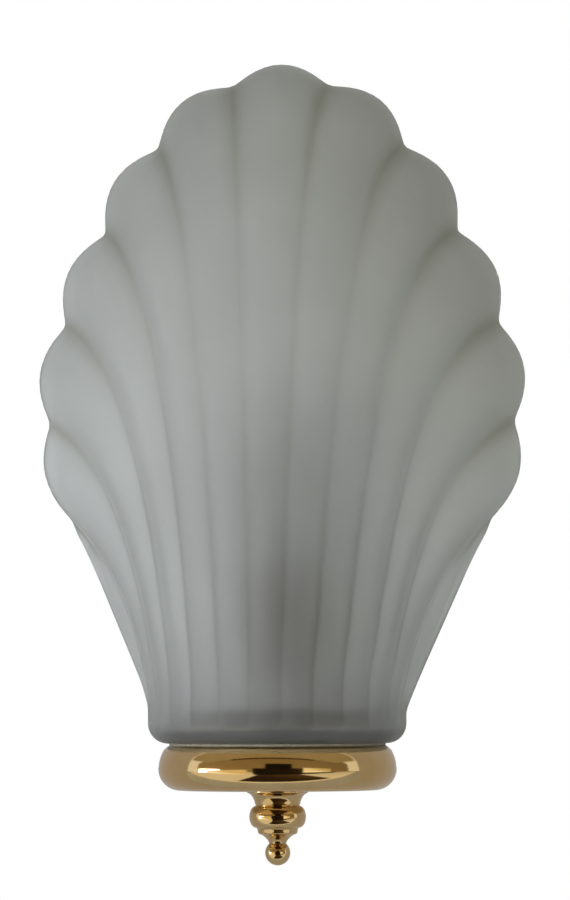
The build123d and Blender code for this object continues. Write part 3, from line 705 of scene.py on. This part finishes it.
    # underside, shoulder and ring up to where the shell leaves it
    flat = spec["neckRadius"] - spec["shoulder"]
    lower = [roundRow(spec["holeRadius"], spec["floor"]), roundRow(spec["holeRadius"], 0.0)]
    lower += [roundRow(mixed(spec["holeRadius"], flat, (k + 1) / spec["flatRows"]), 0.0)
              for k in range(spec["flatRows"])]
    for k in range(spec["shoulderRows"]):
        share = (k + 1) / spec["shoulderRows"]
        a = math.pi / 2 * share
        lower.append(roundRow(flat + spec["shoulder"] * math.sin(a),
                              spec["shoulder"] * (1 - math.cos(a)), ringRib * share ** 3))
    stitch(lower, True)

    # skins of the shell as point numbers
    # how strong the painted shade is at a point: near a fold, and stronger towards the rim
    def foldShadeAmount(c, level):
        share = columnShares[c]
        near = max(0.0, 1 - min(share, 1 - share) / spec["grooveWidth"])
        if c == 0 or c == frontCount - 1:
            near = 0
        strength = mixed(spec["grooveLow"], 1.0, smoothFade(level, spec["grooveStart"], 1.0))
        return near ** spec["groovePower"] * strength

    outerIds = [[addPoint(p, foldShadeAmount(c, levels[r])) for c, p in enumerate(row)]
                for r, row in enumerate(outer)]
    innerIds = [[addPoint(p, foldShadeAmount(c, levels[r])) for c, p in enumerate(row)]
                for r, row in enumerate(inner)]
    stitch(outerIds, False)
    stitch(innerIds, False)

    def edgeStrip(outsideP, insideP, direction, reach, outsideId, insideId):
        middle, half = (outsideP + insideP) / 2, (outsideP - insideP) / 2
        ids = [outsideId]
        for k in range(1, edgeRows):
            a = math.pi * k / edgeRows
            ids.append(addPoint(middle + half * math.cos(a) + direction * reach * math.sin(a)))
        return ids + [insideId]

    # rim over the lobes, and down both side edges to the ring
    rimIds = []
    for c in range(frontCount):
        direction = rimUp[c]
        if c in (0, frontCount - 1):
            direction = (direction + Vector(spec["cornerLean"])).normalized()
        rimIds.append(edgeStrip(outer[-1][c], inner[-1][c], direction, rimRise,
                                outerIds[-1][c], innerIds[-1][c]))
    stitch(rimIds, False)
    ringRows = {}
    lowReach, highReach, reachRows = spec["sideReach"]
    for c in (0, frontCount - 1):
        side = Vector(spec["sideLean"]).normalized()
        if c == 0:
            side.x = -side.x
        strips = []
        for r in range(lowRows, len(levels)):
            if r == len(levels) - 1:
                strips.append(rimIds[c])
                continue
            direction = side if r > lowRows else Vector(spec["ringLean"]).normalized()
            reach = mixed(lowReach, highReach, min((r - lowRows) / reachRows, 1))
            strips.append(edgeStrip(outer[r][c], inner[r][c], direction, reach,
                                    outerIds[r][c], innerIds[r][c]))
        stitch(strips, False)
        ringRows[c] = strips[0]

    # the low back of the ring: up the outside, over the round top, down the inside
    def shift(c, actual, plain):
        # how far the shared side column stands off the plain ring, fading along the back
        near = math.exp(-min(c + 1, backCount - 1 - c) / spec["sideFade"])
        return (actual - plain) * near

    lastRight, lastLeft = frontCount - 1, 0
    backRows = []
    for r in range(lowRows + 1):
        height = mixed(spec["fluteStart"], ringTop, r / lowRows)
        row = [outerIds[r][lastRight]]
        for c, (a, s) in enumerate(zip(backAngles, backShares)):
            plain = ringPoint(a, spec["neckRadius"] - ringRib + ringRib * domeAt(s), height)
            owner = lastRight if c < backCount / 2 else lastLeft
            edge = math.radians(edgeAngle if owner else -edgeAngle)
            bare = ringPoint(edge, spec["neckRadius"] - ringRib, height)
            row.append(addPoint(plain + shift(c, outer[r][owner], bare)))
        row.append(outerIds[r][lastLeft])
        backRows.append(row)
    for k in range(1, edgeRows):
        turn = math.pi * k / edgeRows
        radius = innerRadius + halfWall + halfWall * math.cos(turn)
        height = ringTop + halfWall * math.sin(turn)
        row = [addPoint(ringPoint(a, radius, height)) for a in backAngles]
        backRows.append([ringRows[lastRight][k]] + row + [ringRows[lastLeft][k]])
    for r in range(lowRows, -1, -1):
        height = mixed(spec["fluteStart"], ringTop, r / lowRows)
        row = [addPoint(ringPoint(a, innerRadius, height)) for a in backAngles]
        backRows.append([innerIds[r][lastRight]] + row + [innerIds[r][lastLeft]])
    stitch(backRows, False)

    # join the shoulder to both, and the inside down to the floor
    stitch([lower[-1], outerIds[0] + backRows[0][1:-1]], True)
    floor, corner = spec["floor"], spec["floorCorner"]
    inset = corner * spec["cornerInset"]
    inside = [innerIds[0] + backRows[-1][1:-1], roundRow(innerRadius, floor + corner),
              roundRow(innerRadius - inset, floor + inset), roundRow(innerRadius - corner, floor),
              roundRow(mixed(spec["holeRadius"], innerRadius, 0.5), floor), lower[0]]
    stitch(inside, True)
    return points, faces, foldShadeTints


shellPoints, shellFaces, shellFoldShades = makeShell(shell)
glassShell = finishMesh("glassShell", shellPoints, shellFaces, finishes["frosted_glass"],
                        "shade", ["shell_shade"], sharpAngle=60,
                        foldShadeTints=shellFoldShades)
print("glass shell made,", len(glassShell.data.vertices), "points")

gallerySpec = {
    # millimetres
    "hole": 5.08,
    "flatRadius": 14.0,
    "floorRadius": 36.5,       # where the flat floor bends up
    "wall": 1.0,
    "side": ((0.35, 0.32), (0.95, 0.56), (1.9, 0.80)),     # inset, share of the height up it
    "sideDrop": 0.3,           # the side's inner skin lies lower by this share of the wall
    "topRadius": 40.8,
    "topUnderRadius": 40.1,
    "topRound": (0.8, 0.4),
    "lipRadius": 37.0,
    "edge": 0.3,
    "bendSteps": 14,
    "roundSteps": 4,
    "segments": 160,
}


def makeGallery(spec):
    # spun dish with a full round edge
    low, top = ringLow[2], ringHigh[2]
    widest = (ringHigh[0] - ringLow[0]) / 2
    wall, edge, steps = spec["wall"], spec["edge"], spec["bendSteps"]
    bend = widest - spec["floorRadius"]
    bendZ = low + bend
    side = [(widest - inset, bendZ + (top - bendZ) * share) for inset, share in spec["side"]]
    outline = [(spec["hole"], low, edge), (spec["flatRadius"], low, 0)]
    outline += arc(spec["floorRadius"], bendZ, bend, -90, 0, steps)
    outline += [(r, z, 0) for r, z in side]
    outline += [(spec["topRadius"], top, spec["topRound"][0]), (spec["lipRadius"], top, edge),
                (spec["lipRadius"], top - wall, edge),
                (spec["topUnderRadius"], top - wall, spec["topRound"][1])]
    outline += [(r - wall, z - wall * spec["sideDrop"], 0) for r, z in reversed(side)]
    outline += arc(spec["floorRadius"], bendZ, bend - wall, 0, -90, steps)
    outline += [(spec["hole"], low + wall, edge)]
    return roundCorners(outline, spec["roundSteps"])


points, faces = spin(makeGallery(gallerySpec), gallerySpec["segments"])
finishMesh("brassGallery", points, faces, finishes["polished_brass"], "shade",
           ["gallery"])

finialSpec = {
    # millimetres; a corner is an inset from the bead or a radius, the share of the length
    # that lies above it, and its rounding
    "hole": 5.08,
    "edge": 0.3,
    "beadRadius": 10.6,
    "collar": ((-0.85, 0.0, 0.3), (-0.9, 0.03, 0.25), (0.35, 0.052, 0.6), (1.3, 0.09, 0.8),
               (1.9, 0.14, 0.8), (2.2, 0.185, 0.3), (2.5, 0.205, 0.3)),
    "beadRound": 2.6,          # how far the bead stands out
    "beadFrom": 0.205,
    "beadTo": 0.50,
    "ledge": ((2.6, 0.50, 0.3), (3.0, 0.515, 0.3), (3.3, 0.575, 0.5)),
    "taper": ((5.7, 0.598, 0.5), (4.5, 0.632, 0.8), (3.6, 0.668, 0.5)),
    "ball": 4.7,
    "neck": 3.15,              # radius where the taper meets the end ball
    "boreDepth": 12.0,
    "boreTip": 14.5,
    "beadSteps": 12,
    "ballSteps": 26,
    "roundSteps": 4,
    "segments": 96,
}


def makeFinial(spec):
    # turned from bar: flared collar, bead, ledge, taper and end ball
    low, high = boxMm("finial")
    top, tip = high[2], low[2]
    length = top - tip
    bead, bulge, ball = spec["beadRadius"], spec["beadRound"], spec["ball"]
    middle = (spec["beadFrom"] + spec["beadTo"]) / 2
    half = (spec["beadTo"] - spec["beadFrom"]) / 2
    outline = [(spec["hole"], top, spec["edge"])]
    outline += [(bead - inset, top - length * share, f) for inset, share, f in spec["collar"]]
    for k in range(1, spec["beadSteps"]):
        a = math.pi * k / spec["beadSteps"]
        outline.append((bead - bulge + bulge * math.sin(a),
                        top - length * (middle - half * math.cos(a)), 0))
    outline += [(bead - inset, top - length * share, f) for inset, share, f in spec["ledge"]]
    outline += [(r, top - length * share, f) for r, share, f in spec["taper"]]
    meet = math.degrees(math.acos(spec["neck"] / ball))
    outline += arc(0, tip + ball, ball, meet, -90, spec["ballSteps"])
    outline += [(0, top - spec["boreTip"], 0), (spec["hole"], top - spec["boreDepth"], 0)]
    return roundCorners(outline, spec["roundSteps"])


points, faces = spin(makeFinial(finialSpec), finialSpec["segments"])
finishMesh("brassFinial", points, faces, finishes["polished_brass"], "finial",
           ["finial"])
print("brass made")

dishSpec = {
    # millimetres
    "hole": 5.1,
    "edge": 0.3,
    "sheet": 1.0,
    "slopeShare": 0.8,         # width of the slope over the dish's height
    "slopeRound": (1.2, 1.0),
    "slopeInset": 0.6,         # the slope's inner skin starts further in
    "rim": ((1.2, 2.2, 0.6), (0.0, 2.1, 0.4), (0.0, 0.0, 0.3), (3.0, 0.0, 0.3),
            (3.0, 1.4, 0.5)),              # inset, height and rounding of its corners
    "segments": 128,
}


def makeDish(spec):
    # pressed dish: rim on the gasket, raised middle under the nut
    low, high = boxMm("clamp_disc")
    foot, top = low[2], high[2]
    outer = (high[0] - low[0]) / 2
    slope = outer - (top - foot) * spec["slopeShare"]
    outside, inside = spec["slopeRound"]
    outline = [(spec["hole"], top, spec["edge"]), (slope, top, outside)]
    outline += [(outer - inset, foot + height, f) for inset, height, f in spec["rim"]]
    outline += [(slope - spec["slopeInset"], top - spec["sheet"], inside),
                (spec["hole"], top - spec["sheet"], spec["edge"])]
    return roundCorners(outline)


points, faces = spin(makeDish(dishSpec), dishSpec["segments"])
finishMesh("clampDish", points, faces, finishes["bronzed_steel"], "shade",
           ["clamp_disc"])


def threadedTube(low, high, spec):
    # screw thread as a true helix; a rolled sheet has the wave inside too
    pitch, depth, columns = spec["pitch"], spec["depth"], spec["columns"]
    rows = int(round((high - low) / pitch * spec["rowsPerTurn"]))
    points, faces = [], []

    def wave(z, angle):
        turn = (z - low) / pitch - angle / (2 * math.pi)
        return abs(2 * (turn - math.floor(turn)) - 1)

    def edgeFade(z):
        return min(1.0, (z - low) / pitch, (high - z) / pitch)

    for outside in (True, False):
        for r in range(rows + 1):
            z = low + (high - low) * r / rows
            for c in range(columns):
                angle = 2 * math.pi * c / columns
                drop = depth * (1 - wave(z, angle) * max(edgeFade(z), 0))
                radius = spec["outside"] if outside else spec["inside"]
                if outside or spec["rolled"]:
                    radius -= drop
                points.append((axisX + radius * math.sin(angle),
                               axisY - radius * math.cos(angle), z))
    size = (rows + 1) * columns
    for r in range(rows):
        here, above = r * columns, (r + 1) * columns
        for c in range(columns):
            d = (c + 1) % columns
            faces.append((here + c, here + d, above + d, above + c))
            faces.append((size + here + c, size + above + c, size + above + d, size + here + d))
    for end in (0, rows * columns):
        for c in range(columns):
            d = (c + 1) % columns
            faces.append((end + c, end + d, size + end + d, size + end + c))
    return points, faces


rodSpec = {
    # millimetres; hollow M10 rod
    "inside": 3.5, "outside": 5.0, "pitch": 1.0, "depth": 0.55, "rolled": False,
    "columns": 40, "rowsPerTurn": 4,
}
rodLow, rodHigh = boxMm("threaded_rod")
points, faces = threadedTube(rodLow[2], rodHigh[2], rodSpec)
finishMesh("rodThread", points, faces, finishes["zinc_plated_steel"], "bracket",
           ["threaded_rod"], sharpAngle=80)

nutSpec = {
    # millimetres
    "thickness": 3.0,
    "hole": 5.1,
    "flatTo": 6.9,             # the faces are flat to this radius
    "corner": 8.2,
    "acrossFlats": 14.0,
    "skinDepth": 0.5,          # what lies this close to the flats is shaped as a hexagon
    "chamfer": 0.58,           # drop of the corners over how far they stand out
    "segments": 72,
}


def makeNut(foot, spec):
    top = foot + spec["thickness"]
    middle, half = (foot + top) / 2, spec["acrossFlats"] / 2

    def hexagon(angle, r, z):
        if r < half - spec["skinDepth"]:
            return r, z
        turn = (angle + math.pi / 6) % (math.pi / 3) - math.pi / 6
        flat = half / math.cos(turn)
        drop = (flat - half) * spec["chamfer"]
        return min(flat, r), min(z, top - drop) if z > middle else max(z, foot + drop)

    radii = (spec["hole"], spec["flatTo"], spec["corner"])
    outline = [(r, foot) for r in radii] + [(r, top) for r in reversed(radii)]
    return spin(outline, spec["segments"], hexagon)


nutLow, nutHigh = boxMm("lock_nuts")
nutPoints, nutFaces = [], []
for foot in (nutLow[2], nutHigh[2] - nutSpec["thickness"]):
    points, faces = makeNut(foot, nutSpec)
    nutFaces += [tuple(i + len(nutPoints) for i in face) for face in faces]
    nutPoints += points
finishMesh("hexNuts", nutPoints, nutFaces, finishes["plated_fastener"], "bracket",
           ["lock_nuts"], sharpAngle=30)
print("clamping stack made")

holderCapSpec = {
    # millimetres
    "hole": 5.1,
    "radius": 14.0,
    "footRadius": 12.0,
    "footHeight": 2.0,
    "inside": 11.4,
    "floor": 8.0,
    "corners": ((4.0, 0), (7.0, 0)),       # further points up the side
    "topBand": 1.2,
    "roundings": (0.3, 0.8, 0.2, 0.4, 0.5),
    "gripDepth": 0.5,
    "gripCount": 36,
    "gripFrom": 3.9,           # above the foot
    "gripTo": 1.5,             # under the top
    "gripOutside": 13.0,
    "segments": 144,
}


def makeHolderCap(spec):
    low, high = boxMm("lampholder_cap")
    foot, top, wide = low[2], high[2], spec["radius"]
    edge, soft, band, rim, well = spec["roundings"]

    def grip(angle, r, z):
        # vertical grip ribs moulded round the outside
        if r < spec["gripOutside"] or z < foot + spec["gripFrom"] or z > top - spec["gripTo"]:
            return r, z
        return r - spec["gripDepth"] * (0.5 - 0.5 * math.cos(spec["gripCount"] * angle)), z

    outline = [(spec["hole"], foot, edge), (spec["footRadius"], foot, soft),
               (wide, foot + spec["footHeight"], soft)]
    outline += [(wide, foot + height, f) for height, f in spec["corners"]]
    outline += [(wide, top - spec["topBand"], band), (wide, top, rim),
                (spec["inside"], top, edge), (spec["inside"], foot + spec["floor"], well),
                (spec["hole"], foot + spec["floor"], edge)]
    return spin(roundCorners(outline), spec["segments"], grip)


points, faces = makeHolderCap(holderCapSpec)
finishMesh("holderCap", points, faces, finishes["dark_phenolic"], "bracket",
           ["lampholder_cap"])

barrelSpec = {
    # millimetres; corners are (radius, height above the foot or below the top, rounding)
    "floor": 3.5,
    "foot": ((3.0, 0.0, 0.3), (14.0, 0.0, 0.4), (14.0, 3.0, 0.4), (13.2, 3.6, 0.3),
             (12.95, 13.0, 0)),
    "top": ((12.7, 1.0, 0.6), (11.7, 0.0, 0.5), (7.6, 0.0, 0.4)),
    "bore": ((7.6, 3.5, 0.3), (3.0, 3.5, 0.3)),
    "segments": 144,
}
barrelLow, barrelHigh = boxMm("lampholder_barrel")
foot, top = barrelLow[2], barrelHigh[2]
outline = [(r, foot + height, f) for r, height, f in barrelSpec["foot"]]
outline += [(r, top - height, f) for r, height, f in barrelSpec["top"]]
outline += [(r, foot + height, f) for r, height, f in barrelSpec["bore"]]
points, faces = spin(roundCorners(outline), barrelSpec["segments"])
finishMesh("holderBarrel", points, faces, finishes["dark_phenolic"], "bracket",
           ["lampholder_barrel"])

sleeveSpec = {
    # millimetres; sheet rolled into the round thread that small bulbs have
    "inside": 7.15, "outside": 7.5, "pitch": 2.82, "depth": 0.3, "rolled": True,
    "columns": 64, "rowsPerTurn": 8,
}
sleeveTop = boxMm("lampholder_sleeve")[1][2]
points, faces = threadedTube(foot + barrelSpec["floor"], sleeveTop, sleeveSpec)
finishMesh("holderThread", points, faces, finishes["terminal_brass"], "bracket",
           ["lampholder_sleeve"], sharpAngle=60)

bulbScrewSpec = {**sleeveSpec, "inside": 6.35, "outside": 6.75, "depth": 0.35, "rolled": False}
screwLow, screwHigh = boxMm("bulb_cap")
points, faces = threadedTube(screwLow[2], screwHigh[2], bulbScrewSpec)
finishMesh("bulbThread", points, faces, finishes["bulb_metal"], "bulb",
           ["bulb_cap"], sharpAngle=60)

bulbSpec = {
    # millimetres
    "neckRadius": 6.28,
    "shoulderRadius": 7.6,
    "shoulderHeight": 2.6,
    "bellyShare": 0.36,        # height of the widest place above the screw cap
    "bellyPower": 1.15,        # fullness below the belly
    "taperPower": 0.82,        # and above it
    "tipRadius": 3.0,
    "bellySteps": 9,
    "taperSteps": 22,
    "tipSteps": 8,
    "segments": 96,
}


def makeBulb(spec):
    # candle bulb: neck, round belly, long taper to a small round tip
    low, high = boxMm("bulb_envelope")
    foot, top, capTop = low[2], high[2], screwHigh[2]
    wide = (high[0] - low[0]) / 2
    shoulder, shoulderZ = spec["shoulderRadius"], capTop + spec["shoulderHeight"]
    belly = capTop + (top - capTop) * spec["bellyShare"]
    tip = spec["tipRadius"]
    outline = [(spec["neckRadius"], foot, 0), (spec["neckRadius"], capTop, 0),
               (shoulder, shoulderZ, 0)]
    for k in range(1, spec["bellySteps"]):
        t = k / spec["bellySteps"]
        full = math.sin(t * math.pi / 2) ** spec["bellyPower"]
        outline.append((mixed(shoulder, wide, full), mixed(shoulderZ, belly, t), 0))
    for k in range(spec["taperSteps"]):
        t = k / spec["taperSteps"]
        full = math.cos(t * math.pi / 2) ** spec["taperPower"]
        outline.append((wide * full * (1 - t) + tip * t, mixed(belly, top - tip, t), 0))
    outline += arc(0, top - tip, tip, 0, 90, spec["tipSteps"])
    outline += [(0, foot, 0)]
    return [(r, z) for r, z, _ in outline]


points, faces = spin(makeBulb(bulbSpec), bulbSpec["segments"])
finishMesh("bulbGlass", points, faces, finishes["opal_glass"], "bulb",
           ["bulb_envelope"])
print("lampholder and bulb made")

slotOf = {part["node"]: part["material_slot"] for part in frame["record"]["subparts"]}
for name, part in nodes.items():
    for place in part.material_slots:
        place.material = finishes[slotOf[name]]
    if not part.material_slots:
        part.data.materials.append(finishes[slotOf[name]])
print("CAD parts finished")
